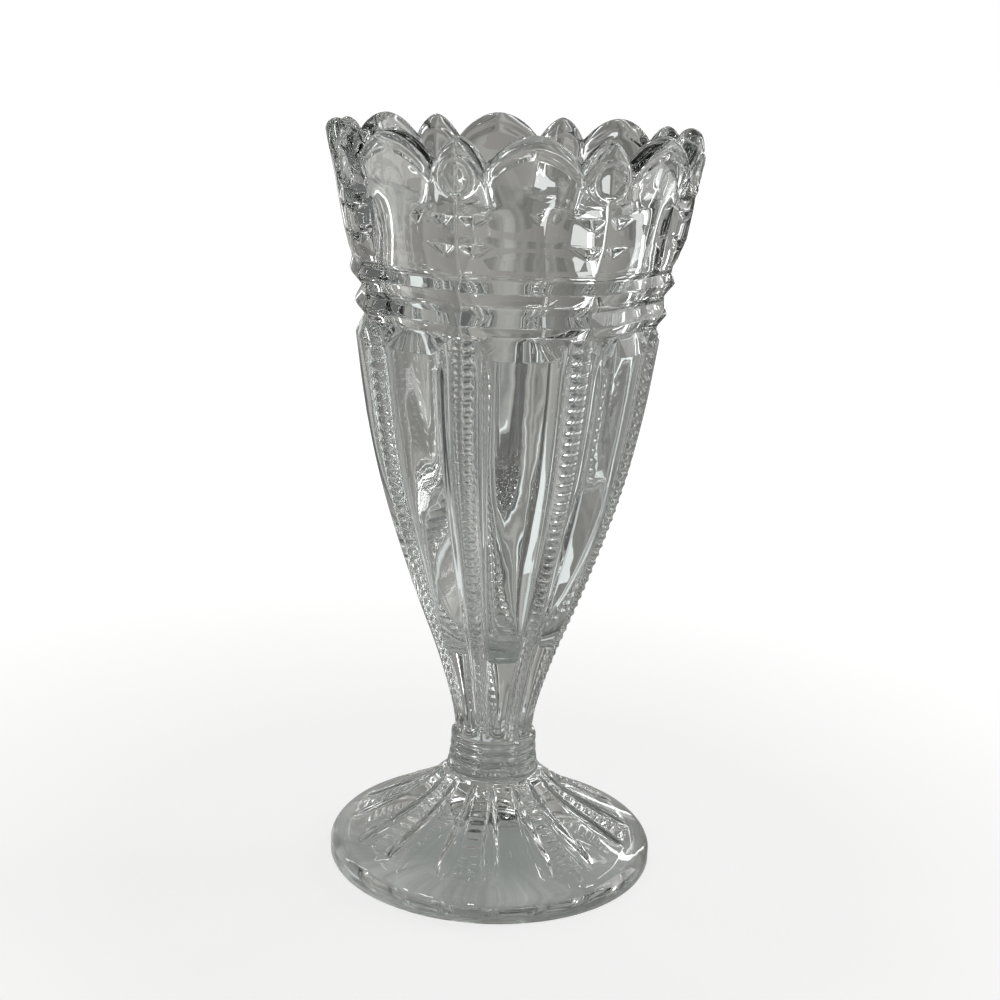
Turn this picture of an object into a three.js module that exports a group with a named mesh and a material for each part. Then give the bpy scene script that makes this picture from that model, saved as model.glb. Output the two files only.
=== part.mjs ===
// Pressed glass vase: a scalloped bowl with notched corner ribs, on a ringed neck and a spreading foot.
// Millimetres, +Z up. The origin is the centre of the foot's resting face.
import * as THREE from 'three';

// Whole vase
const HEIGHT = 200;
const SIDES = 8;
const HALF_SIDE = Math.PI / SIDES;
const FOOT_TOP = 25;
const NECK_TOP = 36.5;

// Foot
const FOOT_RADIUS = 44.3;
const FOOT_EDGE = 3.9;
const REST_INNER_RADIUS = 38.5;
const FOOT_HOLLOW = 14;
const FOOT_TURN = THREE.MathUtils.degToRad(7);
const FOOT_FLUTE_DEPTH = 1.6;
const FOOT_FLUTE_END = 39;

// Neck rings
const RING_COUNT = 4;
const RING_SWELL = 0.7;
const NECK_RADIUS = 10.1;
const NECK_SPREAD = 1.3;
const NECK_CORNER = 1.03;

// Bowl
const NECK_SECTION = 10.6;
const BODY_TOP = 146.5;
const BODY_RADIUS = 39.5;
const CORNER_CUT_REACH = 0.45;
const CAVITY_FLOOR = 59.6;

// Scalloped rim: eight wide scallops over the faces and eight narrow ones over the corners
const VALLEY_DROP = 6.5;
const CORNER_PEAK_DROP = 0.7;
const VALLEY_PLACE = 0.364;

const { lerp, clamp } = THREE.MathUtils;

// Places across half a side, from the corner rib (0) to the middle of the face (1): on the body a rib,
// a flute beside it and a smooth panel.
const BODY_ACROSS = [
  { place: 0, depth: 0 },
  { place: 0.14, depth: 0.1 },
  { place: 0.2, depth: 0.9 },
  { place: 0.29, depth: 1.3 },
  { place: 0.38, depth: 0.5 },
  { place: 0.5, depth: 0.15 },
  { place: 0.74, depth: 0 },
  { place: 1, depth: 0 },
];
const CROWN_ACROSS = [0, 0.12, 0.24, VALLEY_PLACE, 0.52, 0.68, 0.84, 1];
const FOOT_ACROSS = [
  { place: 0, spread: 0, depth: 0.35 },
  { place: 0.21, spread: 0, depth: 0.4 },
  { place: 0.34, spread: -0.08, depth: 0.7 },
  { place: 0.4, spread: 0.03, depth: 1 },
  { place: 0.46, spread: 0.16, depth: 0.25 },
  { place: 0.8, spread: 0, depth: 0 },
  { place: 1, spread: 0, depth: 0 },
];
const NECK_ACROSS = [0, 1 / 3, 2 / 3, 1];

// Rows of the bowl above the body. Each has its radius at the middle of a face and at a corner, how deep
// a V-groove crosses the corner there, and how far it follows the scallops down.
const COLLAR_ROWS = [
  { z: 151.8, face: 36.9, corner: 39.3 },
  { z: 154.6, face: 39.8, corner: 41.2 },
  { z: 157.2, face: 38.1, corner: 40.6 },
  { z: 159.6, face: 37.6, corner: 40.5 },
  { z: 162.7, face: 41.2, corner: 42.8 },
  { z: 167.3, face: 40.9, corner: 42.3 },
  { z: 170.8, face: 42.5, corner: 44.4 },
  { z: 174.1, face: 43.1, corner: 45, cut: 1.7 },
  { z: 177.4, face: 43.8, corner: 45.8 },
  { z: 181.2, face: 44.5, corner: 46.4, cut: 1.7 },
];
const RIM_ROWS = [
  { z: 184.6, face: 45.1, corner: 46.7, follow: 0.15 },
  { z: 191, face: 46.6, corner: 47.6, follow: 0.6 },
  { z: 195, face: 47.5, corner: 48.4, follow: 1 },
  { z: 197.4, face: 47.8, corner: 48.6, follow: 1 },
  { z: 199.2, face: 47, corner: 47.9, follow: 1 },
  { z: HEIGHT, face: 45, corner: 45.9, follow: 1 },
  { z: 199.2, face: 43, corner: 43.9, follow: 1 },
  { z: 197.2, face: 42.2, corner: 43, follow: 1 },
  { z: 192, face: 41.4, corner: 41.4, follow: 0.7 },
];

// The rim's drop below its highest point at a place across half a side
function scallopDrop(place) {
  if (place < VALLEY_PLACE) {
    return lerp(CORNER_PEAK_DROP, VALLEY_DROP, (place / VALLEY_PLACE) ** 1.5);
  }
  return VALLEY_DROP * ((1 - place) / (1 - VALLEY_PLACE)) ** 2;
}

// A bulged octagon: the radius grows from the middle of a face to a crisp corner
function octagonRadius(face, corner, place) {
  return lerp(face, corner, (1 - place) ** 2);
}

// A turned blank is pressed into an eight-fold mould: every column of its grid is brought to its place
// between a corner and a face, and shape(row, step) gives that place with the radius and height there.
function pressed(rows, steps, shape, turn = 0) {
  const outline = rows.map((row) => new THREE.Vector2(row.face, row.z));
  const columns = 2 * steps * SIDES;
  const geometry = new THREE.LatheGeometry(outline, columns);
  const position = geometry.getAttribute('position');
  for (let column = 0; column <= columns; column++) {
    const along = column % (2 * steps);
    const side = Math.floor(column / (2 * steps));
    rows.forEach((row, level) => {
      const { place, radius, z } = shape(row, Math.abs(steps - along));
      const away = along < steps ? -place : place;
      const angle = (2 * side + 1 + away) * HALF_SIDE + turn;
      const index = column * rows.length + level;
      position.setXYZ(index, radius * Math.sin(angle), -radius * Math.cos(angle), z);
    });
  }
  geometry.deleteAttribute('uv');
  geometry.computeVertexNormals();
  return geometry;
}

// Clear glass, slightly grey where it is thick
function glassPiece(name, geometry) {
  const glass = new THREE.MeshStandardMaterial({ color: 0xc6cac8, roughness: 0.05, metalness: 0 });
  const mesh = new THREE.Mesh(geometry, glass);
  mesh.name = name;
  return mesh;
}

// The bowl's outline from the neck to the collar, and its smooth inside
function bodyRows() {
  const outline = new THREE.SplineCurve([
    new THREE.Vector2(NECK_SECTION, NECK_TOP),
    new THREE.Vector2(11.8, 45),
    new THREE.Vector2(16.2, 59.5),
    new THREE.Vector2(24, 80.5),
    new THREE.Vector2(31.5, 104),
    new THREE.Vector2(36.3, 125),
    new THREE.Vector2(BODY_RADIUS, BODY_TOP),
  ]);
  return outline.getPoints(13).map((p) => ({ z: p.y, face: p.x, body: true }));
}

function cavityRows() {
  const outline = new THREE.SplineCurve([
    new THREE.Vector2(40.2, 183),
    new THREE.Vector2(34.6, 149),
    new THREE.Vector2(28.2, 110),
    new THREE.Vector2(18, 79),
    new THREE.Vector2(11.8, 67),
    new THREE.Vector2(6.6, 60.8),
  ]);
  return outline.getPoints(9).map((p) => ({ z: p.y, face: p.x, round: true }));
}

function bowlShape(row, step) {
  if (row.body) {
    const across = BODY_ACROSS[step];
    const grown = (row.face - NECK_SECTION) / (BODY_RADIUS - NECK_SECTION);
    return { place: across.place, radius: row.face - across.depth * lerp(0.5, 1, grown), z: row.z };
  }
  const place = CROWN_ACROSS[step];
  if (row.round) {
    return { place, radius: row.face, z: row.z };
  }
  const cut = (row.cut ?? 0) * Math.max(0, 1 - place / CORNER_CUT_REACH);
  const drop = (row.follow ?? 0) * scallopDrop(place);
  return { place, radius: octagonRadius(row.face, row.corner, place) - cut, z: row.z - drop };
}

function makeBowl() {
  const rows = [
    { z: NECK_TOP, face: 0, round: true },
    ...bodyRows(),
    ...COLLAR_ROWS,
    ...RIM_ROWS,
    ...cavityRows(),
    { z: CAVITY_FLOOR, face: 0, round: true },
  ];
  return glassPiece('bowl', pressed(rows, BODY_ACROSS.length - 1, bowlShape));
}

// Four rings on a short solid neck, a little wider towards the foot, with eight soft corners
function makeRingCollar() {
  const pitch = (NECK_TOP - FOOT_TOP) / RING_COUNT;
  const rows = [{ z: FOOT_TOP, face: 0 }];
  for (let ring = 0; ring < RING_COUNT; ring++) {
    const valley = NECK_RADIUS + NECK_SPREAD * (1 - ring / RING_COUNT) ** 3;
    const foot = FOOT_TOP + ring * pitch;
    rows.push({ z: foot, face: valley });
    rows.push({ z: foot + 0.3 * pitch, face: valley + RING_SWELL });
    rows.push({ z: foot + 0.7 * pitch, face: valley + 0.9 * RING_SWELL });
  }
  rows.push({ z: NECK_TOP, face: NECK_RADIUS });
  rows.push({ z: NECK_TOP, face: 0 });
  const shape = (row, step) => {
    const place = NECK_ACROSS[step];
    return { place, radius: octagonRadius(row.face, NECK_CORNER * row.face, place), z: row.z };
  };
  return glassPiece('ring_collar', pressed(rows, NECK_ACROSS.length - 1, shape));
}

// The foot's flutes open from the neck, are widest at two thirds of the radius and end in a point
function footShape(row, step) {
  const across = FOOT_ACROSS[step];
  const out = clamp(row.face / FOOT_FLUTE_END, 0, 1);
  const open = row.relief ? Math.sin(Math.PI * out ** 1.6) : 0;
  const place = across.place + across.spread * open;
  return { place, radius: row.face, z: row.z - FOOT_FLUTE_DEPTH * across.depth * open };
}

function makeFoot() {
  const rows = [
    { face: 0, z: FOOT_HOLLOW },
    { face: 14, z: 12 },
    { face: 27, z: 6.5 },
    { face: REST_INNER_RADIUS, z: 0 },
    { face: FOOT_RADIUS - 0.9, z: 0 },
    { face: FOOT_RADIUS, z: 0.9 },
    { face: FOOT_RADIUS, z: FOOT_EDGE },
    { face: FOOT_RADIUS - 0.5, z: FOOT_EDGE + 0.9 },
    { face: 41.5, z: 6.6 },
    { face: FOOT_FLUTE_END, z: 8 },
    { face: 35, z: 10.1, relief: true },
    { face: 30, z: 12.8, relief: true },
    { face: 25, z: 15.75, relief: true },
    { face: 21, z: 18.3, relief: true },
    { face: 17.5, z: 20.9, relief: true },
    { face: 14.8, z: 23.4, relief: true },
    { face: 12.8, z: FOOT_TOP },
    { face: 0, z: FOOT_TOP },
  ];
  return glassPiece('foot', pressed(rows, FOOT_ACROSS.length - 1, footShape, FOOT_TURN));
}

const group = new THREE.Group();
group.add(makeBowl(), makeRingCollar(), makeFoot());

export default group;
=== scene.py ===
import logging
import math
from collections.abc import Callable
from dataclasses import dataclass, field
from enum import Enum

import bmesh
import bpy
from bmesh.types import BMesh
from bpy.types import Material, Node, NodeSocket, NodeTree, Object
from mathutils import Matrix, Vector
from mathutils.geometry import interpolate_bezier


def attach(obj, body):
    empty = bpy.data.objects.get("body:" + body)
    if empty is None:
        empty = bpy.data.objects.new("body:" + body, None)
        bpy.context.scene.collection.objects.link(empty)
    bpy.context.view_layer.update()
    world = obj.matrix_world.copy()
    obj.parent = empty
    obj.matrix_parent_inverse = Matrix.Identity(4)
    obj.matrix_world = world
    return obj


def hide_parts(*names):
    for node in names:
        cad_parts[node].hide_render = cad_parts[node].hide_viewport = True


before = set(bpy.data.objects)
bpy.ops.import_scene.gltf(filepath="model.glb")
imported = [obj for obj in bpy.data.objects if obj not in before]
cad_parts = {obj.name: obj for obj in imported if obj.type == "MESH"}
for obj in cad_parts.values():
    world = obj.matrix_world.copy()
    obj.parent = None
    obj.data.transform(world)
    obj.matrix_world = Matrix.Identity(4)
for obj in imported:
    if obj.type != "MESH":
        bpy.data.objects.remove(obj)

LOG = logging.getLogger("vase")
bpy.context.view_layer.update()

# The vase is measured in mm and degrees, and its studio in metres and degrees
MM = 0.001
SIDES = 8
HALF_SIDE = 180.0 / SIDES
FOOT_TOP = 25.0
NECK_TOP = 36.5
HEIGHT = 200.0

# The neck ends this far short of the bowl and the foot, so that no two faces lie in one place
JOIN_GAP = 0.01
# The joined faces lie within this radius
JOIN_RADIUS = 11.7

# Points closer than this are made one, in metres: along the mirror, and where two sides meet
MIRROR_MERGE = 1e-7
SIDE_MERGE = 2e-6

WHITE = "ffffff"

Pair = tuple[float, float]
Point = tuple[float, float, float]
Four = tuple[float, float, float, float]
Knots = tuple[Pair, ...]
# One level of the bowl: gives a column's angle from the corner, radius and height
Level = Callable[[int], Point]


def linear(code: str) -> Four:
    """Turns an sRGB hex colour to linear red, green, blue and alpha, as a shader takes them."""
    parts = [int(code[i:i + 2], 16) / 255 for i in (0, 2, 4)]
    red, green, blue = (p / 12.92 if p <= 0.04045 else ((p + 0.055) / 1.055) ** 2.4 for p in parts)
    return red, green, blue, 1.0


def mix(low: float, high: float, share: float) -> float:
    """Returns the value at a share of the way from low to high."""
    return low + (high - low) * share


def ramp(value: float, start: float, end: float) -> float:
    """Returns 0 before start, 1 after end, and an even ease between them."""
    share = min(max((value - start) / (end - start), 0.0), 1.0)
    return share * share * (3 - 2 * share)


def plateau(value: float, sides: Four) -> float:
    """Returns 1 between the middle two of four places, and eases to 0 at the outer two."""
    start, full, fall, end = sides
    return ramp(value, start, full) * (1 - ramp(value, fall, end))


def octagon(face: float, corner: float, angle: float) -> float:
    """Returns a soft octagon's radius at an angle from its corner, from its radii at a face and a corner."""
    return mix(face, corner, (1 - angle / HALF_SIDE) ** 2)


def along(value: float, knots: Knots) -> float:
    """Reads a broken line at a value, from pairs of a place and its height. Beyond its ends it is level."""
    if value <= knots[0][0]:
        return knots[0][1]
    for (left, low), (right, high) in zip(knots, knots[1:]):
        if value <= right:
            return mix(low, high, (value - left) / (right - left))
    return knots[-1][1]


def flowing(before: float, start: float, end: float, after: float, share: float) -> float:
    """Reads the Catmull-Rom curve through four values, at a share of the way from start to end."""
    bend = 2 * before - 5 * start + 4 * end - after
    twist = 3 * start - before - 3 * end + after
    return 0.5 * (2 * start + (end - before) * share + bend * share * share + twist * share ** 3)


@dataclass(frozen=True)
class Outline:
    """A smooth line in the vase's section, through points that each have a radius and a height."""

    points: Knots
    fineness: int = 24

    def trace(self) -> list[Vector]:
        """Draws the line as a Catmull-Rom curve, whose Bezier handles are a sixth of a chord long.

        Returns:
            Closely spaced points, as radius and height.
        """
        knots = [Vector((r, z, 0)) for r, z in self.points]
        knots = [2 * knots[0] - knots[1], *knots, 2 * knots[-1] - knots[-2]]
        line: list[Vector] = [knots[1]]
        for before, start, end, after in zip(knots, knots[1:], knots[2:], knots[3:]):
            out_of = start + (end - before) / 6
            into = end - (after - start) / 6
            line += interpolate_bezier(start, out_of, into, end, self.fineness)[1:]
        return line

    def spaced(self, shares: list[float]) -> list[Four]:
        """Finds points by their share of the line's length.

        Args:
            shares: Shares of the whole length, rising from 0 to 1.

        Returns:
            For each share the radius and height, then the parts along both of the normal to the line's right.
        """
        line = self.trace()
        reach = [0.0]
        for start, end in zip(line, line[1:]):
            reach.append(reach[-1] + (end - start).length)
        found = []
        span = 0
        for share in shares:
            wanted = share * reach[-1]
            while span < len(line) - 2 and reach[span + 1] < wanted:
                span += 1
            start, end = line[span], line[span + 1]
            here = start.lerp(end, (wanted - reach[span]) / (reach[span + 1] - reach[span]))
            run = (end - start).normalized()
            found.append((here.x, here.y, run.y, -run.x))
        return found

    def length(self) -> float:
        """Returns the line's length."""
        line = self.trace()
        return sum((end - start).length for start, end in zip(line, line[1:]))


def press(levels: int, columns: int, shape: Callable[[int, int], Point], turn: float = 0.0) -> BMesh:
    """Spins a line over half a side, presses it into its mould and repeats that round the axis.

    Args:
        levels: How many points the line has.
        columns: Steps of the spin between a corner and the middle of a face.
        shape: Gives a point's angle from the corner, its radius and its height, from its level and column.
        turn: How far the corners are turned from the usual place.

    Returns:
        The closed mesh in metres, with its faces outwards.
    """
    mesh = bmesh.new()
    level_of = mesh.verts.layers.int.new("level")
    line = [mesh.verts.new((1, 0, level)) for level in range(levels)]
    for level, vert in enumerate(line):
        vert[level_of] = level
    edges = [mesh.edges.new(pair) for pair in zip(line, line[1:])]
    wedge = math.radians(HALF_SIDE)
    bmesh.ops.spin(mesh, geom=[*line, *edges], cent=(0, 0, 0), axis=(0, 0, 1), angle=wedge,
                   steps=columns, use_merge=False)
    for vert in mesh.verts:
        column = round(math.atan2(vert.co.y, vert.co.x) / wedge * columns)
        angle, radius, height = shape(vert[level_of], column)
        out = Vector((math.cos(math.radians(angle)), math.sin(math.radians(angle)), 0))
        vert.co = MM * (radius * out + Vector((0, 0, height)))
    half = [*mesh.verts, *mesh.edges, *mesh.faces]
    bmesh.ops.mirror(mesh, geom=half, matrix=Matrix.Identity(4), merge_dist=MIRROR_MERGE, axis="Y")
    side = [*mesh.verts, *mesh.edges, *mesh.faces]
    bmesh.ops.spin(mesh, geom=side, cent=(0, 0, 0), axis=(0, 0, 1), angle=math.tau * (1 - 1 / SIDES),
                   steps=SIDES - 1, use_duplicate=True)
    bmesh.ops.remove_doubles(mesh, verts=mesh.verts[:], dist=SIDE_MERGE)
    bmesh.ops.rotate(mesh, verts=mesh.verts[:], cent=(0, 0, 0),
                     matrix=Matrix.Rotation(math.radians(HALF_SIDE + turn), 3, "Z"))
    bmesh.ops.recalc_face_normals(mesh, faces=mesh.faces[:])
    return mesh


def finished(mesh: BMesh, name: str, glass: Material, joins: tuple[float, ...]) -> Object:
    """Makes a smooth object of a mesh, with a sharp edge round the faces that are joined to a neighbour.

    Those faces are smooth too. The renderer loses track of where the glass ends if its smooth faces and its
    flat ones are mixed.

    Args:
        mesh: The piece, in metres. It is freed.
        name: The object's name.
        glass: Its material.
        joins: Heights of the joined faces.

    Returns:
        The object, at the origin.
    """
    reach = 1.5 * JOIN_GAP * MM
    joined = set()
    for face in mesh.faces:
        face.smooth = True
        if any(all(abs(vert.co.z - MM * join) < reach for vert in face.verts) for join in joins):
            joined.add(face)
    for edge in mesh.edges:
        edge.smooth = sum(face in joined for face in edge.link_faces) != 1
    data = bpy.data.meshes.new(name)
    mesh.to_mesh(data)
    mesh.free()
    data.materials.append(glass)
    piece = bpy.data.objects.new(name, data)
    bpy.context.scene.collection.objects.link(piece)
    return piece


def add_node(tree: NodeTree, kind: str, settings: dict | None = None, links: dict | None = None) -> Node:
    """Adds a node with its settings and links.

    Args:
        tree: The node tree.
        kind: The shader node's type.
        settings: Values by attribute name, or by input name or number.
        links: Output sockets by the input name or number that each goes to.

    Returns:
        The node.
    """
    node = tree.nodes.new("ShaderNode" + kind)
    for key, value in (settings or {}).items():
        if isinstance(key, str) and hasattr(node, key):
            setattr(node, key, value)
        else:
            node.inputs[key].default_value = value
    for key, socket in (links or {}).items():
        tree.links.new(socket, node.inputs[key])
    return node


@dataclass(frozen=True)
class PressedGlass:
    """Soda-lime glass, pressed in an iron mould and fire-polished.

    The mould's chill leaves slow waves in the skin, which break up what is mirrored and bent. Light that
    goes a long way inside, as round the foot's edge, comes out greyer. The ring that it stands on is worn
    dull. Where two gathers were stuck together hot the glass runs through, so the faces there bend and
    mirror no light.
    """

    name: str = "pressed_soda_lime_glass"
    tint: str = "fbfcfb"
    ior: float = 1.51
    roughness: float = 0.01
    wave_length: float = 11.0
    wave_depth: float = 0.04
    wave_detail: float = 1.5
    wave_roughness: float = 0.4
    wear_height: float = 0.35
    wear_roughness: float = 0.3
    depth_tint: str = "00593f"
    grey_per_metre: float = 5.6

    def build(self) -> Material:
        """Makes the glass's material."""
        material = bpy.data.materials.new(self.name)
        material.use_nodes = True
        tree = material.node_tree
        tree.nodes.clear()
        place = add_node(tree, "TexCoord").outputs["Object"]
        waves = add_node(tree, "TexNoise",
                         {"Scale": 1 / (self.wave_length * MM), "Detail": self.wave_detail,
                          "Roughness": self.wave_roughness}, {"Vector": place})
        skin = add_node(tree, "Bump", {"Strength": 1.0, "Distance": self.wave_depth * MM},
                        {"Height": waves.outputs["Fac"]})
        height = add_node(tree, "SeparateXYZ", links={0: place}).outputs["Z"]
        worn = add_node(tree, "MapRange",
                        {"From Min": 0.0, "From Max": self.wear_height * MM, "To Min": self.wear_roughness,
                         "To Max": self.roughness}, {"Value": height})
        shader = add_node(tree, "BsdfPrincipled",
                          {"Base Color": linear(self.tint), "IOR": self.ior, "Transmission Weight": 1.0},
                          {"Normal": skin.outputs["Normal"], "Roughness": worn.outputs["Result"],
                           "Alpha": self.skin_mask(tree, place, height)})
        thick = add_node(tree, "VolumeAbsorption",
                         {"Color": linear(self.depth_tint), "Density": self.grey_per_metre})
        add_node(tree, "OutputMaterial", links={"Surface": shader.outputs["BSDF"], "Volume": thick.outputs[0]})
        return material

    def skin_mask(self, tree: NodeTree, place: NodeSocket, height: NodeSocket) -> NodeSocket:
        """Finds the glass's real skin.

        Args:
            tree: The node tree to add to.
            place: The place on the vase.
            height: The same place's height.

        Returns:
            1 on the skin and 0 on the joined faces inside the neck.
        """
        flat = add_node(tree, "VectorMath", {"operation": "MULTIPLY", 1: (1, 1, 0)}, {0: place})
        reach = add_node(tree, "VectorMath", {"operation": "LENGTH"}, {0: flat.outputs[0]})
        inside = add_node(tree, "Math", {"operation": "LESS_THAN", 1: JOIN_RADIUS * MM},
                          {0: reach.outputs["Value"]}).outputs[0]
        mask = None
        for join in (FOOT_TOP, NECK_TOP):
            level = add_node(tree, "Math", {"operation": "COMPARE", 1: join * MM, 2: 2 * JOIN_GAP * MM},
                             {0: height})
            there = add_node(tree, "Math", {"operation": "MULTIPLY"}, {0: level.outputs[0], 1: inside})
            rest = add_node(tree, "Math", {"operation": "SUBTRACT", 0: 1.0}, {1: there.outputs[0]})
            if mask:
                tree.links.new(mask, rest.inputs[0])
            mask = rest.outputs[0]
        return mask


# Angles from a corner at which the mould's lines run up the body and the crown
BODY_COLUMNS = (0.0, 0.8, 1.6, 2.4, 3.1, 3.7, 4.2, 4.5, 4.8, 5.4, 6.1, 6.8, 7.5, 8.1, 8.6, 9.0, 9.3,
                10.2, 12.0, 14.5, 18.0, HALF_SIDE)
CROWN_COLUMNS = (0.0, 0.8, 1.6, 2.4, 3.2, 4.0, 4.7, 5.3, 5.9, 6.7, 7.5, 8.2, 8.9, 9.8, 10.9, 12.2, 13.8,
                 15.5, 17.3, 19.0, 20.8, HALF_SIDE)
# The crown's line that runs up the valley between a tab and a petal
VALLEY_COLUMN = 11

# The collar's section from below, each row with its height and its radii at a face and at a corner
COLLAR_SECTION = (
    (150.9, 37.4, 38.9), (151.7, 37.3, 39.2), (152.0, 37.5, 39.4),
    (154.2, 39.55, 41.1), (154.55, 39.8, 41.3), (154.9, 39.65, 41.25),
    (157.1, 38.15, 40.6), (157.5, 38.0, 40.5), (159.3, 38.1, 40.5), (159.7, 38.4, 40.7),
    (162.4, 41.0, 42.8), (162.8, 41.3, 43.0), (163.2, 41.2, 42.8),
    (165.1, 40.85, 42.0), (165.5, 40.8, 41.95), (167.1, 41.0, 42.3), (167.5, 41.25, 42.6),
    (168.6, 41.7, 43.2),
)
# The crown's section up the outside and over the lip, each row with its height, both radii and how far it
# follows the scallops, and the levels from each row to the next
CROWN_SECTION = (
    (183.0, 44.85, 46.7, 0.0), (185.5, 45.3, 46.9, 0.15), (191, 46.5, 47.7, 0.6),
    (194.6, 47.3, 48.0, 1), (195.6, 47.5, 48.05, 1), (196.6, 47.65, 48.1, 1),
    (197.6, 47.8, 48.1, 1), (199.2, 47, 47.4, 1),
    (HEIGHT, 45, 45.6, 1), (199.2, 43, 43.7, 1), (197.2, 42.2, 42.8, 1), (192, 41.4, 41.4, 0.7),
)
CROWN_STEPS = (5, 11, 8, 3, 3, 3, 4, 3, 3, 3, 4)
# Rows of that section: up to the lip, up to the outside's end, and from there to where its relief is gone
PETAL_ROWS = 3
OUTSIDE_ROWS = 7
FADING_ROWS = 2.5


@dataclass
class Bowl:
    """The pressed bowl: beaded ribs and lancet flutes, a ridged collar and a scalloped crown."""

    # The body: its panels' line, and how far each column stands out from it
    body_line: Outline = Outline(((10.35, NECK_TOP), (11.8, 45), (16.2, 59.5), (24, 80.5), (31.5, 104),
                                  (36.3, 125), (39.5, 146.5)))
    neck_corner: float = 1.03
    across: tuple[float, ...] = (0.15, 0.1, -0.02, -0.22, -0.5, -0.85, -1.25, -1.6, -1.85, -2.2, -2.4, -2.42,
                                 -2.25, -1.95, -1.55, -1.15, -0.98, -0.82, -0.55, -0.27, -0.02, 0.1)
    neck_relief: float = 0.45
    relief_growth: float = 1.6
    neck_blend: float = 0.05
    rib_spread: float = 0.3
    spread_end: Pair = (44.0, 64.0)
    panel_blend: Pair = (9.6, 19.5)
    flute_sides: Four = (4.1, 5.4, 8.6, 9.6)
    flute_tip: Pair = (138.0, 147.0)
    tip_relief: float = 0.5

    # The beads on the ribs, each drawn by four levels
    bead_pitch: float = 2.6
    bead_depth: float = 1.1
    bead_half: float = 4.5
    bead_phases: tuple[float, ...] = (0.0, 0.17, 0.5, 0.83)
    bead_power: float = 2.4
    bead_flatness: int = 4

    # The crease that rises towards the corners where the body ends
    crease_lift: float = 4.4
    crease_sides: Pair = (5.0, 11.4)
    crease_start: float = 0.7
    crease_power: float = 1.5

    # The band over the collar, with facets that end under two lines
    band_faces: Knots = ((168.6, 41.7), (174, 43.1), (181.2, 44.5), (184.6, 45.1))
    band_corners: Knots = ((168.6, 43.2), (174, 45.3), (181.2, 46.5), (184.6, 46.8))
    facet_lines: tuple[float, ...] = (174.1, 181.1)
    facet_steps: tuple[float, ...] = (3.2, 2.95, 2.4, 1.7, 1.0, 0.4, 0.12, -0.1, -0.7)
    facet_reach: Knots = ((0.6, 0), (4.4, 2.95), (10.6, 0))
    facet_slope: float = 0.42

    # The crown: the scallops, and the grooves between petals and tabs
    valley_angle: float = 8.2
    valley_drop: float = 6.5
    tab_drop: float = 0.7
    tab_arch: float = 1.7
    petal_arch: float = 2.0
    strap_angle: float = 10.8
    gather_power: float = 0.8
    groove_depths: Pair = (0.7, 1.7)
    groove_blend: float = 0.15
    groove_tab_power: int = 3
    groove_petal_powers: tuple[int, int] = (8, 2)
    groove_steep_share: float = 0.6

    # The nip under each petal's lip, and the raised oval with its shallow dish on each tab
    nip_depth: float = 0.55
    nip_sides: Four = (10.0, 12.0, 18.5, 20.5)
    nip_height: float = 195.6
    nip_half: float = 1.1
    oval_half_width: float = 5.3
    oval_half_height: float = 4.6
    oval_height: float = 189.9
    oval_lip: float = 0.5
    oval_edge: float = 0.18
    dish_depth: float = 0.2
    dish_floor: float = 0.5

    # The smooth inside, from the lip down to its floor
    inside_line: Outline = Outline(((41.4, 192), (40.2, 183), (34.6, 149), (28.2, 110), (18, 79), (11.8, 67),
                                    (6.6, 60.8), (0, 59.6)))
    inside_steps: int = 24
    inside_follow: float = 0.7
    inside_blend: float = 0.07

    levels: list[Level] = field(default_factory=list)

    def rim_drop(self, angle: float) -> float:
        """Returns how far the rim lies below its highest point, at an angle from a corner."""
        if angle < self.valley_angle:
            return mix(self.tab_drop, self.valley_drop, (angle / self.valley_angle) ** self.tab_arch)
        share = (HALF_SIDE - angle) / (HALF_SIDE - self.valley_angle)
        return self.valley_drop * share ** self.petal_arch

    def add_body(self) -> None:
        """Adds the levels of the body, from notch to notch of the beads."""
        beads = round(self.body_line.length() / self.bead_pitch)
        shares = [(bead + phase) / beads for bead in range(beads) for phase in self.bead_phases] + [1.0]
        marks = [*self.bead_phases * beads, 0.0]
        self.levels += map(self.body_level, shares, marks, self.body_line.spaced(shares))

    def body_level(self, share: float, phase: float, spot: Four) -> Level:
        """Makes one level of the body.

        Args:
            share: Its share of the way up.
            phase: Its place within a bead, from notch (0) to notch (1).
            spot: Radius, height and outward normal of the panel there.

        Returns:
            The level.
        """
        radius, height, out, up = spot
        narrowest, widest = self.body_line.points[0][0], self.body_line.points[-1][0]
        grown = (radius - narrowest) / (widest - narrowest)
        above_neck = ramp(share, 0, self.neck_blend)
        depth = mix(self.neck_relief, 1.0, min(grown * self.relief_growth, 1)) * above_neck
        wide = 1 + self.rib_spread * (1 - ramp(height, *self.spread_end))
        notch = self.bead_depth * abs(2 * phase - 1) ** self.bead_power
        tip = (1 - self.tip_relief) * ramp(height, *self.flute_tip)
        crease = max(0.0, (share - self.crease_start) / (1 - self.crease_start)) ** self.crease_power

        def point(column: int) -> Point:
            plain = BODY_COLUMNS[column]
            angle = mix(min(plain * wide, HALF_SIDE), plain, ramp(plain, *self.panel_blend))
            relief = self.across[column] * (1 - tip * plateau(plain, self.flute_sides))
            if plain < self.bead_half:
                relief -= notch * (1 - (plain / self.bead_half) ** self.bead_flatness)
            relief *= depth
            soft = octagon(radius, radius * self.neck_corner, angle)
            start, end = self.crease_sides
            lift = self.crease_lift * crease * min(max((end - plain) / (end - start), 0), 1)
            return angle, mix(soft, radius, above_neck) + relief * out, height + relief * up + lift

        return point

    def add_collar(self) -> None:
        """Adds the ridged collar, and the band over it with its facets."""
        self.levels += [self.plain_level(*row) for row in COLLAR_SECTION]
        self.levels += [self.facet_level(line, below) for line in self.facet_lines
                        for below in self.facet_steps]

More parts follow.
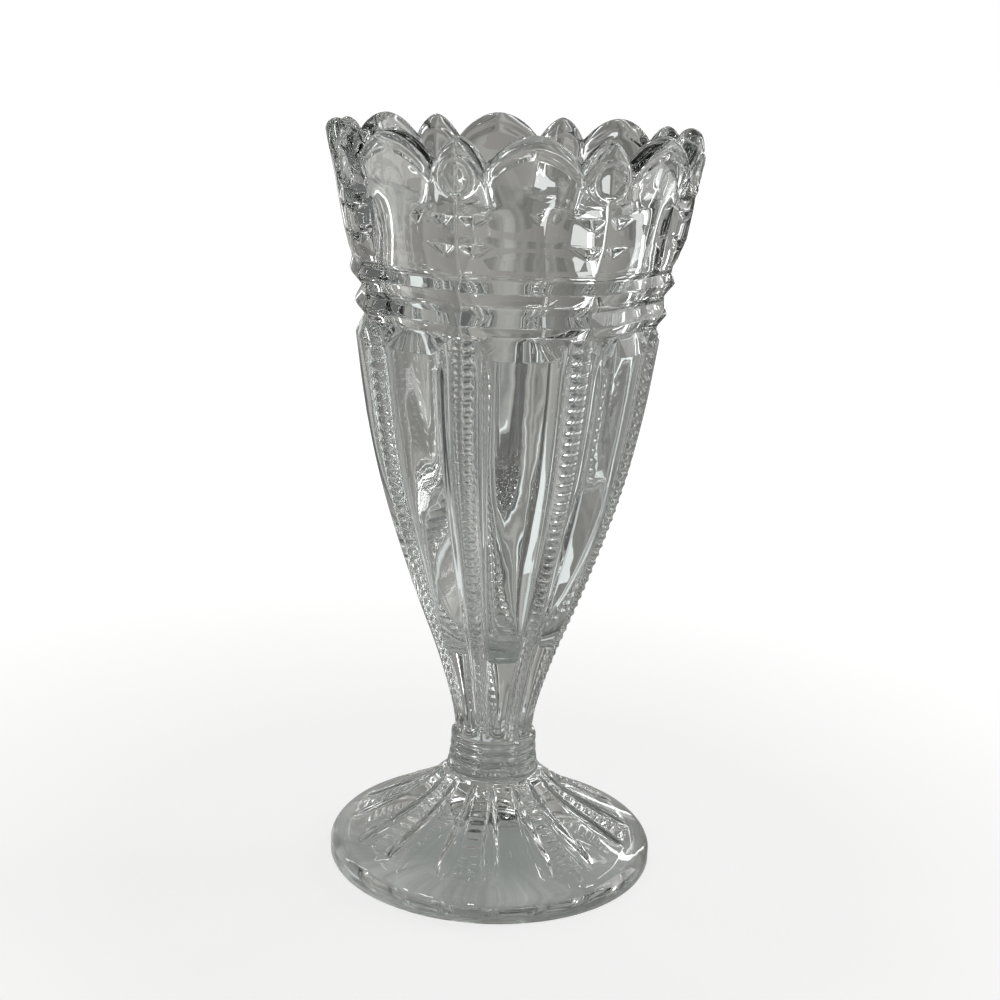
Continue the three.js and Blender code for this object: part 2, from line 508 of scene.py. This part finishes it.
    def plain_level(self, height: float, face: float, corner: float, follow: float = 0.0) -> Level:
        """Makes a level without relief.

        Args:
            height: Its height, where the rim is highest.
            face: Its radius at the middle of a face.
            corner: Its radius at a corner.
            follow: How far it follows the scallops down.

        Returns:
            The level.
        """
        def point(column: int) -> Point:
            angle = CROWN_COLUMNS[column]
            return angle, octagon(face, corner, angle), height - follow * self.rim_drop(angle)

        return point

    def facet_level(self, line: float, below: float) -> Level:
        """Makes a level of the band below the crown.

        Args:
            line: Height of the line that the facets end under.
            below: How far the level lies under it; less than zero is over it.

        Returns:
            The level.
        """
        height = line - below
        face = along(height, self.band_faces)
        corner = along(height, self.band_corners)

        def point(column: int) -> Point:
            angle = CROWN_COLUMNS[column]
            cut = max(0.0, along(angle, self.facet_reach) - below) if below > 0 else 0.0
            return angle, octagon(face, corner, angle) - self.facet_slope * cut, height

        return point

    def add_crown(self) -> None:
        """Adds the crown: wide petals and narrow tabs with a groove between, and the rounded lip."""
        rows = (CROWN_SECTION[0], *CROWN_SECTION, CROWN_SECTION[-1])
        for index, steps in enumerate(CROWN_STEPS):
            for step in range(steps):
                share = step / steps
                height, face, corner, follow = (flowing(*four, share) for four in zip(*rows[index:index + 4]))
                row = index + share
                outside = min(1.0, max(0.0, 1 - (row - OUTSIDE_ROWS) / FADING_ROWS))
                self.levels.append(self.crown_level(height, face, corner, follow, row / PETAL_ROWS, outside))

    def crown_level(self, height: float, face: float, corner: float, follow: float, rise: float,
                    outside: float) -> Level:
        """Makes a level of the crown.

        Args:
            height: Height where the rim is highest.
            face: Radius at the middle of a face.
            corner: Radius at a corner.
            follow: How far the level follows the scallops down.
            rise: How far up the petals it is; 1 and over is the lip.
            outside: 1 on the outside, 0 on the inside.

        Returns:
            The level.
        """
        grown = min(rise, 1)
        gather = mix(self.strap_angle / self.valley_angle, 1.0, grown ** self.gather_power)
        groove = mix(*self.groove_depths, grown) * ramp(rise, -self.groove_blend, self.groove_blend) * outside
        nip = self.nip_depth * outside * max(0.0, 1 - ((height - self.nip_height) / self.nip_half) ** 2)
        steep, soft = self.groove_petal_powers

        def point(column: int) -> Point:
            plain = CROWN_COLUMNS[column]
            if column <= VALLEY_COLUMN:
                angle = plain * gather
                relief = -groove * (column / VALLEY_COLUMN) ** self.groove_tab_power
            else:
                share = (plain - self.valley_angle) / (HALF_SIDE - self.valley_angle)
                angle = mix(self.valley_angle * gather, HALF_SIDE, share)
                relief = -groove * mix((1 - share) ** soft, (1 - share) ** steep, self.groove_steep_share)
            radius = octagon(face, corner, angle) + relief - nip * plateau(plain, self.nip_sides)
            low = height - follow * self.rim_drop(plain)
            out = math.hypot(angle / self.oval_half_width, (low - self.oval_height) / self.oval_half_height)
            radius += self.oval_lip * outside * max(0.0, 1 - abs(out - 1) / self.oval_edge)
            radius -= self.dish_depth * outside * (1 - ramp(out, self.dish_floor, 1.0))
            return angle, radius, low

        return point

    def add_inside(self) -> None:
        """Adds the smooth inside, down to its floor."""
        shares = [step / self.inside_steps for step in range(self.inside_steps + 1)]
        for share, (radius, height, _, _) in zip(shares, self.inside_line.spaced(shares)):
            follow = self.inside_follow * (1 - ramp(share, 0, self.inside_blend))
            self.levels.append(self.plain_level(height, radius, radius, follow))

    def build(self, glass: Material) -> Object:
        """Makes the bowl of this glass, in its node's place."""
        self.levels.append(lambda column: (BODY_COLUMNS[column], 0.0, NECK_TOP))
        self.add_body()
        self.add_collar()
        self.add_crown()
        self.add_inside()
        mesh = press(len(self.levels), len(BODY_COLUMNS) - 1, lambda level, column: self.levels[level](column))
        piece = finished(mesh, "bowl_glass", glass, (NECK_TOP,))
        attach(piece, "root")
        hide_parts("bowl")
        return piece


@dataclass
class RingCollar:
    """The solid neck with four soft rings, between the bowl and the foot."""

    rings: int = 4
    swell: float = 1.25
    top_radius: float = 10.35
    foot_radius: float = 11.6
    taper_power: int = 3
    corner: float = 1.03
    corner_blend: float = 2.0
    columns: int = 12

    # One ring's section, as shares of its pitch and of its swell
    profile: Knots = (
        (0, 0), (0.08, 0.3), (0.17, 0.72), (0.25, 0.93), (0.34, 1.0), (0.62, 1.0), (0.72, 0.93),
        (0.81, 0.72), (0.91, 0.3))

    # The ribs that run through the rings, and how they fade at the foot and at the bowl
    rib_sides: Pair = (3.5, 8.0)
    rib_share: float = 0.85
    rib_ends: Pair = (1.5, 1.0)

    def radius_at(self, ring: int) -> float:
        """Returns the valley's radius under a ring, from 0 at the foot."""
        return mix(self.top_radius, self.foot_radius, (1 - ring / self.rings) ** self.taper_power)

    def section(self) -> list[Point]:
        """Returns the radius, swell and height of every level of the neck, from the foot up."""
        pitch = (NECK_TOP - FOOT_TOP) / self.rings
        low, high = FOOT_TOP + JOIN_GAP, NECK_TOP - JOIN_GAP
        rows = [(0.0, 0.0, low)]
        for ring in range(self.rings):
            for phase, share in self.profile:
                radius = mix(self.radius_at(ring), self.radius_at(ring + 1), phase)
                rows.append((radius, self.swell * share, max(FOOT_TOP + (ring + phase) * pitch, low)))
        rows += [(self.top_radius, 0.0, high), (0.0, 0.0, high)]
        return rows

    def build(self, glass: Material) -> Object:
        """Makes the neck of this glass, in its node's place."""
        rows = self.section()
        foot_end, bowl_end = self.rib_ends

        def shape(level: int, column: int) -> Point:
            radius, swell, height = rows[level]
            angle = HALF_SIDE * column / self.columns
            corner = radius * mix(1.0, self.corner, ramp(height, FOOT_TOP, FOOT_TOP + self.corner_blend))
            ends = plateau(height, (FOOT_TOP, FOOT_TOP + foot_end, NECK_TOP - bowl_end, NECK_TOP))
            rib = self.rib_share * self.swell * (1 - ramp(angle, *self.rib_sides)) * ends
            return angle, octagon(radius, corner, angle) + max(swell, rib), height

        piece = finished(press(len(rows), self.columns, shape), "ring_collar_glass", glass,
                         (FOOT_TOP, NECK_TOP))
        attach(piece, "root")
        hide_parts("ring_collar")
        return piece


@dataclass
class Foot:
    """The spreading foot: notched ribs, spoon-shaped flutes and smooth petals over a flat edge."""

    # The foot stands this far round from the bowl
    turn: float = 7.0
    radius: float = 44.3
    join_radius: float = 11.6
    columns: tuple[float, ...] = (
        0.0, 1.2, 2.4, 3.4, 4.2, 4.85, 5.3, 5.65, 6.2, 6.9, 7.8, 8.8, 9.9, 11.0, 12.0, 12.9, 13.6, 14.15,
        14.5, 16.0, 17.8, 20.0, HALF_SIDE)

    # The petals' line, the edge as distances in from the radius with their heights, and the hollow under it
    top: Outline = Outline(((12.4, FOOT_TOP), (14.1, 24), (18.7, 20), (24.5, 16), (31.5, 12), (35.2, 10),
                            (39.1, 8), (42.6, 6.2), (43.8, 5.0)))
    edge: Knots = ((0.2, 4.4), (0.0, 3.9), (0.0, 2.4), (0.0, 0.9), (0.3, 0.3), (0.9, 0.0), (2.9, 0.0))
    under: Outline = Outline(((38.5, 0), (34, 2.6), (27, 6.5), (14, 12), (0, 14.0)))
    under_steps: int = 12

    # The ribs, and the notches across them
    rib_height: float = 0.35
    rib_half: float = 5.0
    rib_ends: Four = (13.5, 16.0, 36.5, 39.0)
    notch_pitch: float = 2.5
    notch_depth: float = 0.7
    notch_half: float = 5.3
    notch_phases: tuple[float, ...] = (0.0, 0.14, 0.38, 0.62, 0.86)
    notch_power: int = 3

    # The flutes: where they run, their section across, and the curve of their leaf
    flute_depth: float = 1.5
    flute_middle: float = 9.9
    flute_half: float = 4.6
    flute_start: Pair = (13.0, 17.0)
    flute_end: float = 39.0
    flute_fade: float = 0.93
    flute_section: Knots = ((0.0, 1.0), (0.5, 0.93), (0.75, 0.7), (0.93, 0.22), (1.0, 0.0))
    leaf_turn: float = 0.5
    leaf_stem: Pair = (0.5, 0.95)
    leaf_skew: float = 2.1
    leaf_roundness: float = 0.7
    leaf_last: float = 0.995
    leaf_narrowest: float = 0.1

    def build(self, glass: Material) -> Object:
        """Makes the foot of this glass, in its node's place."""
        notches = round(self.top.length() / self.notch_pitch)
        shares = [(notch + phase) / notches for notch in range(notches) for phase in self.notch_phases]
        marks = [*self.notch_phases * notches, 0.5]
        shares.append(1.0)
        hollow = self.under.spaced([step / self.under_steps for step in range(self.under_steps + 1)])
        rows: list[tuple] = [(radius, FOOT_TOP, None, None)
                             for radius in (0.0, 0.5 * self.join_radius, self.join_radius)]
        rows += [(radius, height, (out, up), phase)
                 for (radius, height, out, up), phase in zip(self.top.spaced(shares), marks)]
        rows += [(self.radius - inset, height, None, None) for inset, height in self.edge]
        rows += [(radius, height, None, None) for radius, height, _, _ in hollow]

        def shape(level: int, column: int) -> Point:
            radius, height, normal, phase = rows[level]
            angle = self.columns[column]
            return self.relief(radius, height, normal, phase, angle) if normal else (angle, radius, height)

        piece = finished(press(len(rows), len(self.columns) - 1, shape, self.turn), "foot_glass", glass,
                         (FOOT_TOP,))
        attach(piece, "root")
        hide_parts("foot")
        return piece

    def leaf(self, out: float) -> float:
        """Returns a flute's width as a share of its full width, at a share of the way out to its end."""
        if out <= self.leaf_turn:
            return mix(*self.leaf_stem, out)
        curve = math.sin(math.pi * min(out, self.leaf_last) ** self.leaf_skew) ** self.leaf_roundness
        return max(self.leaf_narrowest, curve)

    def relief(self, radius: float, height: float, normal: Pair, phase: float, angle: float) -> Point:
        """Presses ribs and flutes into the foot's top.

        Args:
            radius: Radius on the petals' line.
            height: Height on that line.
            normal: The line's inward normal, along radius and height.
            phase: Place within a notch.
            angle: Angle from a rib.

        Returns:
            The point's angle, radius and height.
        """
        out = min(radius / self.flute_end, 1.0)
        leaf = self.leaf(out)
        across = (angle - self.flute_middle) / self.flute_half
        depth = self.flute_depth * along(abs(across), self.flute_section) * leaf
        depth *= ramp(radius, *self.flute_start) * (1 - ramp(out, self.flute_fade, 1.0))
        if abs(across) <= 1.0:
            angle = self.flute_middle + across * self.flute_half * leaf
        rise = self.rib_height * (1 - min(angle / self.rib_half, 1) ** 2)
        if angle < self.notch_half:
            notch = self.notch_depth * abs(2 * phase - 1) ** self.notch_power
            rise -= notch * (1 - (angle / self.notch_half) ** self.notch_power)
        shift = rise * plateau(radius, self.rib_ends) - depth
        return angle, radius - normal[0] * shift, height - normal[1] * shift


class Card(Enum):
    """What a studio card does: gives light, or is only seen in the glass."""

    BRIGHT = "bright"
    DARK = "dark"


@dataclass(frozen=True)
class Sheet:
    """A flat card of the studio, out of the camera's sight.

    Args:
        name: Its name.
        middle: Its centre.
        size: Its width and height.
        tone: Its brightness, where 1 is white.
        kind: Bright or dark.
        aim: The point that it faces, which is the vase's middle unless it lies flat.
        turn: How far it is turned about its own middle.
    """

    name: str
    middle: Point
    size: Pair
    tone: float
    kind: Card = Card.BRIGHT
    aim: Point = (0.0, 0.0, 0.12)
    turn: float = 0.0


@dataclass(frozen=True)
class Strip:
    """A flat strip just over the floor that points at the vase.

    Args:
        around: Where it lies round the vase.
        near: How far from the axis it starts.
        far: How far from the axis it ends.
        width: Its width.
        tone: Its brightness, where 1 is white.
    """

    around: float
    near: float
    far: float
    width: float
    tone: float

    def sheet(self, name: str, height: float) -> Sheet:
        """Returns the strip as a card that lies face up, at a height over the floor."""
        turn = math.radians(self.around)
        reach = 0.5 * (self.near + self.far)
        x, y = reach * math.cos(turn), reach * math.sin(turn)
        size = (self.far - self.near, self.width)
        return Sheet(name, (x, y, height), size, self.tone, Card.DARK, (x, y, 1.0), self.around)


@dataclass(frozen=True)
class Folds:
    """How light falls on the folds of cloth that stand round the vase.

    Args:
        light_side: Where round the vase it is lightest.
        light_gain: How much lighter it is there than the mean, as a share.
        pleat_depth: How much the fine, uneven pleats are lighter and darker, as a share.
    """

    light_side: float
    light_gain: float
    pleat_depth: float = 0.0


# The soft windows and strip lights that stand round the vase
SHEETS = (
    Sheet("window_right", (0.9, 0.15, 0.35), (0.5, 0.7), 2.5),
    Sheet("strip_right", (0.62, 0.62, 0.4), (0.04, 0.7), 9.0),
    Sheet("strip_back_right", (0.366, 0.822, 0.22), (0.04, 0.44), 3.5),
    Sheet("panel_back", (0.358, 0.934, 0.165), (0.22, 0.26), 0.9),
    Sheet("strip_back_left", (-0.187, 0.88, 0.22), (0.03, 0.4), 2.5),
    Sheet("strip_left", (-0.75, 0.5, 0.5), (0.04, 0.5), 8.0),
    Sheet("bar_back", (0.35, 0.95, 0.5), (0.4, 0.05), 3.0),
    Sheet("window_left", (-0.7, -0.7, 0.75), (0.06, 0.3), 7.0),
)
DARK_SHEET = Sheet("dark_left", (-0.7, 0.2, 0.25), (0.3, 0.5), 0.05, Card.DARK)

# Light and dark things on the table, which the glass draws out to long streaks
STRIPS = tuple(Strip(*row) for row in (
    (132, 0.30, 1.2, 0.46, 0.14), (160, 0.215, 0.45, 0.05, 0.02), (124, 0.15, 0.27, 0.006, 0.04),
    (49, 0.2, 0.4, 0.06, 0.08), (153, 0.10, 0.205, 0.03, 0.9), (27, 0.11, 0.24, 0.014, 0.9),
    (19, 0.11, 0.24, 0.016, 0.9), (358, 0.08, 0.2, 0.025, 0.85), (238, 0.2, 0.45, 0.025, 2.5),
    (212, 0.15, 0.4, 0.02, 1.2), (57, 0.25, 0.6, 0.015, 2.0), (98, 0.22, 0.6, 0.02, 1.0),
    (105, 0.25, 0.5, 0.04, 0.10), (5, 0.22, 0.5, 0.02, 1.8), (95, 0.06, 0.3, 0.005, 0.8),
    (80, 0.06, 0.3, 0.006, 0.6), (66, 0.07, 0.3, 0.007, 0.7), (112, 0.07, 0.3, 0.006, 0.06),
    (140, 0.07, 0.3, 0.007, 0.8), (40, 0.07, 0.2, 0.006, 0.06), (270, 0.2, 0.4, 0.02, 1.2),
    (305, 0.15, 0.4, 0.03, 1.0),
))


@dataclass
class Studio:
    """The plain floor, the soft lights, and the grey room that the glass mirrors and bends."""

    # The soft light of the room, and the curtain's brightness low and high up
    wall: str = "fffbf6"
    backdrop: float = 0.19
    ceiling: float = 0.26
    ceiling_rise: Pair = (0.25, 0.75)

    # The curtain hangs so far off that all of the vase sees it alike
    curtain_radius: float = 12.0
    curtain_fineness: int = 4
    # The curtain is painted lighter towards one side, and its folds are only painted light and shade
    curtain_folds: Folds = Folds(84.0, 0.6)
    fold_count: float = 6.0
    fold_peak: float = 100.0
    fold_shading: float = 0.28
    pleats: float = 9.0
    pleat_detail: float = 3.0
    pleat_roughness: float = 0.65
    pleat_range: Pair = (0.3, 0.7)

    # The floor glows white by itself, dimmer near the vase as a painted shadow, and the vase's real shadow
    # darkens it too
    floor_half: float = 6.0
    floor_drop: float = 0.0001
    floor_cloth: str = "959595"
    # Painted shadow: the floor's glow is weaker close to the vase and full at the far end of this reach
    painted_floor_shadow_reach: Pair = (0.1, 0.4)
    floor_glow_with_painted_shadow: Pair = (0.76, 1.02)

    # The table's grey, darker and greener close to the vase, where the darkening is a painted shadow
    table_drop: float = 0.00002
    table_near_painted_shade: str = "8b8f8d"
    table_far: str = "a8a7a4"
    table_painted_shade_reach: Pair = (0.015, 0.07)
    # Painted light and shade on the table: lighter towards one side, with the light and shade of folds and
    # pleats
    table_painted_light: Folds = Folds(240.0, 0.3, 0.35)

    # The small lamps overhead, and the lowest strip with the steps between strips
    lamp_sides: tuple[float, ...] = (20.0, 100.0, 185.0, 250.0)
    lamp_reach: float = 0.75
    lamp_height: float = 0.95
    lamp_size: float = 0.08
    lamp_tone: float = 18.0
    strip_height: float = 0.001
    strip_step: float = 0.0003
    dark_cloth: str = "f9ffff"

    def build(self) -> None:
        """Makes the world, the floor, the grey room, the lights and the cards."""
        self.make_world()
        self.make_floor()
        self.make_curtain()
        self.make_table()
        self.make_lamps()

    def set_up(self, name: str, mesh: BMesh, cloth: str, hidden: bool) -> tuple[Object, NodeTree]:
        """Puts a thing of the studio in its place, with an empty material of its own.

        Args:
            name: Its name.
            mesh: Its mesh. It is freed.
            cloth: What it is made of.
            hidden: Whether only the glass sees it, and it casts no shadow.

        Returns:
            The object and its material's node tree.
        """
        data = bpy.data.meshes.new(name)
        mesh.to_mesh(data)
        mesh.free()
        thing = bpy.data.objects.new(name, data)
        bpy.context.scene.collection.objects.link(thing)
        material = bpy.data.materials.new(cloth)
        material.use_nodes = True
        material.node_tree.nodes.clear()
        data.materials.append(material)
        if hidden:
            thing.visible_camera = False
            thing.visible_shadow = False
            thing.visible_diffuse = False
        return thing, material.node_tree

    def make_plane(self, drop: float) -> BMesh:
        """Makes a wide level plane, which lies a drop below the vase's foot."""
        mesh = bmesh.new()
        bmesh.ops.create_grid(mesh, x_segments=2, y_segments=2, size=self.floor_half)
        bmesh.ops.translate(mesh, vec=(0, 0, -drop), verts=mesh.verts[:])
        return mesh

    def add_fade(self, tree: NodeTree, place: NodeSocket, reach: Pair, values: Pair) -> NodeSocket:
        """Adds a number that goes from one value to the other over a reach of distances from the vase."""
        away = add_node(tree, "VectorMath", {"operation": "LENGTH"}, {0: place})
        return add_node(tree, "MapRange", {"From Min": reach[0], "From Max": reach[1], "To Min": values[0],
                                           "To Max": values[1]}, {"Value": away.outputs["Value"]}).outputs[0]

    def add_folds(self, tree: NodeTree, place: NodeSocket, folds: Folds) -> NodeSocket:
        """Adds the painted light and shade of folds that run up and down all round the vase.

        Args:
            tree: The node tree to add to.
            place: The direction or place that the folds are seen in.
            folds: How light falls on them.

        Returns:
            The brightness as a multiple of the cloth's own.
        """
        parts = add_node(tree, "SeparateXYZ", links={0: place})
        around = add_node(tree, "Math", {"operation": "ARCTAN2"},
                          {0: parts.outputs["Y"], 1: parts.outputs["X"]}).outputs[0]
        tone = None
        if folds.pleat_depth:
            low, high = self.pleat_range
            pleats = add_node(tree, "TexNoise",
                              {"noise_dimensions": "1D", "Scale": self.pleats, "Detail": self.pleat_detail,
                               "Roughness": self.pleat_roughness}, {"W": around})
            tone = add_node(tree, "MapRange",
                            {"From Min": low, "From Max": high, "To Min": 1 - folds.pleat_depth,
                             "To Max": 1 + folds.pleat_depth},
                            {"Value": pleats.outputs["Fac"]}).outputs["Result"]
        for count, peak, depth in ((self.fold_count, self.fold_peak, self.fold_shading),
                                   (1.0, folds.light_side, folds.light_gain)):
            turns = add_node(tree, "Math",
                             {"operation": "MULTIPLY_ADD", 1: count, 2: -count * math.radians(peak)},
                             {0: around})
            wave = add_node(tree, "Math", {"operation": "COSINE"}, {0: turns.outputs[0]})
            part = add_node(tree, "Math", {"operation": "MULTIPLY_ADD", 1: depth, 2: 1.0},
                            {0: wave.outputs[0]})
            product = add_node(tree, "Math", {"operation": "MULTIPLY", 0: 1.0}, {1: part.outputs[0]})
            if tone:
                tree.links.new(tone, product.inputs[0])
            tone = product.outputs[0]
        return tone

    def make_world(self) -> None:
        """Makes the world: white to the camera and to what is mirrored or bent, soft grey light otherwise."""
        world = bpy.data.worlds.new("white_room")
        bpy.context.scene.world = world
        world.use_nodes = True
        tree = world.node_tree
        tree.nodes.clear()
        path = add_node(tree, "LightPath").outputs
        shown = path["Is Camera Ray"]
        for kind in ("Is Glossy Ray", "Is Transmission Ray"):
            shown = add_node(tree, "Math", {"operation": "MAXIMUM"}, {0: shown, 1: path[kind]}).outputs[0]
        soft = add_node(tree, "Background", {"Color": linear(self.wall), "Strength": self.backdrop})
        white = add_node(tree, "Background", {"Color": linear(WHITE), "Strength": 1.0})
        seen = add_node(tree, "MixShader", links={"Fac": shown, 1: soft.outputs[0], 2: white.outputs[0]})
        add_node(tree, "OutputWorld", links={"Surface": seen.outputs[0]})

    def make_floor(self) -> None:
        """Makes the white floor, of matt board that is darker near the vase, partly by a painted shadow in its
        glow and partly in the vase's real shadow.
        """
        _, tree = self.set_up("floor", self.make_plane(self.floor_drop), "matt_white_board", False)
        place = add_node(tree, "TexCoord").outputs["Object"]
        # The glow, dimmed near the vase as a painted shadow
        edge = self.add_fade(tree, place, self.painted_floor_shadow_reach, self.floor_glow_with_painted_shadow)
        faint = add_node(tree, "BsdfDiffuse", {"Color": linear(self.floor_cloth)})
        glow = add_node(tree, "Emission", {"Color": linear(WHITE)}, {"Strength": edge})
        lit = add_node(tree, "AddShader", links={0: faint.outputs[0], 1: glow.outputs[0]})
        add_node(tree, "OutputMaterial", links={"Surface": lit.outputs[0]})

    def make_curtain(self) -> None:
        """Hangs the grey curtain all round, with the painted light and shade of its folds, which only the
        glass sees.
        """
        mesh = bmesh.new()
        bmesh.ops.create_icosphere(mesh, subdivisions=self.curtain_fineness, radius=self.curtain_radius)
        _, tree = self.set_up("curtain", mesh, "grey_curtain_cloth", True)
        place = add_node(tree, "TexCoord").outputs["Object"]
        way = add_node(tree, "VectorMath", {"operation": "NORMALIZE"}, {0: place}).outputs[0]
        rise = add_node(tree, "SeparateXYZ", links={0: way}).outputs["Z"]
        low, high = self.ceiling_rise
        tone = add_node(tree, "MapRange",
                        {"interpolation_type": "SMOOTHSTEP", "From Min": low, "From Max": high,
                         "To Min": self.backdrop, "To Max": self.ceiling}, {"Value": rise})
        folded = add_node(tree, "Math", {"operation": "MULTIPLY"},
                          {0: tone.outputs["Result"], 1: self.add_folds(tree, way, self.curtain_folds)})
        cloth = add_node(tree, "Emission", {"Color": linear(self.wall)}, {"Strength": folded.outputs[0]})
        add_node(tree, "OutputMaterial", links={"Surface": cloth.outputs[0]})

    def make_table(self) -> None:
        """Lays the grey table top between the floor and the foot, which only the glass sees, with a painted
        shadow close to the vase and painted light towards one side.
        """
        _, tree = self.set_up("table", self.make_plane(self.table_drop), "grey_table_top", True)
        place = add_node(tree, "TexCoord").outputs["Object"]
        # Painted shadow close to the vase; further out, the painted light and shade of the folds
        fade = self.add_fade(tree, place, self.table_painted_shade_reach, (0.0, 1.0))
        tone = add_node(tree, "Mix",
                        {"data_type": "RGBA", 6: linear(self.table_near_painted_shade), 7: linear(self.table_far)},
                        {"Factor": fade})
        folded = add_node(tree, "Mix", {"data_type": "FLOAT", 2: 1.0},
                          {"Factor": fade, 3: self.add_folds(tree, place, self.table_painted_light)})
        top = add_node(tree, "Emission", links={"Color": tone.outputs[2], "Strength": folded.outputs[0]})
        add_node(tree, "OutputMaterial", links={"Surface": top.outputs[0]})

    def make_card(self, sheet: Sheet) -> None:
        """Hangs a card as its sheet says."""
        mesh = bmesh.new()
        bmesh.ops.create_grid(mesh, x_segments=1, y_segments=1, size=0.5)
        bmesh.ops.scale(mesh, vec=(*sheet.size, 1), verts=mesh.verts[:])
        facing = (Vector(sheet.aim) - Vector(sheet.middle)).to_track_quat("Z", "Y").to_matrix().to_4x4()
        facing = facing @ Matrix.Rotation(math.radians(sheet.turn), 4, "Z")
        bmesh.ops.transform(mesh, matrix=Matrix.Translation(sheet.middle) @ facing, verts=mesh.verts[:])
        card, tree = self.set_up(sheet.name, mesh, sheet.name + "_cloth", True)
        card.visible_diffuse = sheet.kind is Card.BRIGHT
        colour = linear(WHITE if sheet.kind is Card.BRIGHT else self.dark_cloth)
        glow = add_node(tree, "Emission", {"Color": colour, "Strength": sheet.tone})
        add_node(tree, "OutputMaterial", links={"Surface": glow.outputs[0]})

    def make_lamps(self) -> None:
        """Hangs the soft lights and the cards."""
        for sheet in SHEETS:
            self.make_card(sheet)
        for index, side in enumerate(self.lamp_sides):
            turn = math.radians(side)
            spot = (self.lamp_reach * math.cos(turn), self.lamp_reach * math.sin(turn), self.lamp_height)
            self.make_card(Sheet(f"lamp_{index}", spot, (self.lamp_size, self.lamp_size), self.lamp_tone))
        for index, strip in enumerate(STRIPS):
            self.make_card(strip.sheet(f"strip_{index}", self.strip_height + self.strip_step * index))
        self.make_card(DARK_SHEET)


@dataclass(frozen=True)
class ViewPoint:
    """The camera, where the photograph was taken from. Its place is in mm."""

    azimuth: float = -96.0
    distance: float = 460.05
    height: float = 227.5
    pitch: float = 15.321
    yaw: float = -0.073
    roll: float = 2.127
    lens: float = 64.52
    sensor: float = 36.0
    nearest: float = 10.0

    def build(self) -> None:
        """Makes the camera and gives it to the scene."""
        around = math.radians(self.azimuth)
        place = Vector((self.distance * math.cos(around), self.distance * math.sin(around), self.height))
        pose = Matrix.Translation(MM * place)
        for angle, axis in ((self.azimuth + 90 - self.yaw, "Z"), (90 - self.pitch, "X"), (self.roll, "Z")):
            pose @= Matrix.Rotation(math.radians(angle), 4, axis)
        data = bpy.data.cameras.new("camera")
        data.lens = self.lens
        data.sensor_width = self.sensor
        data.clip_start = self.nearest * MM
        camera = bpy.data.objects.new("camera", data)
        camera.matrix_world = pose
        bpy.context.scene.collection.objects.link(camera)
        bpy.context.scene.camera = camera


# Light is bent and mirrored many times in folded glass, and its edges turn black when the count runs out
BOUNCES = 20
MIRRORED_BOUNCES = 7


def main() -> None:
    """Builds the vase and its studio, and reports each piece."""
    logging.basicConfig(level=logging.INFO, format="%(name)s: %(message)s")
    scene = bpy.context.scene
    scene.view_settings.view_transform = "Standard"
    scene.cycles.max_bounces = BOUNCES
    scene.cycles.transmission_bounces = BOUNCES
    scene.cycles.glossy_bounces = MIRRORED_BOUNCES
    ViewPoint().build()
    glass = PressedGlass().build()
    for maker in (Bowl(), RingCollar(), Foot()):
        piece = maker.build(glass)
        piece.data.calc_loop_triangles()
        LOG.info("%s: %d triangles", piece.name, len(piece.data.loop_triangles))
    Studio().build()


if __name__ == "__main__":
    main()
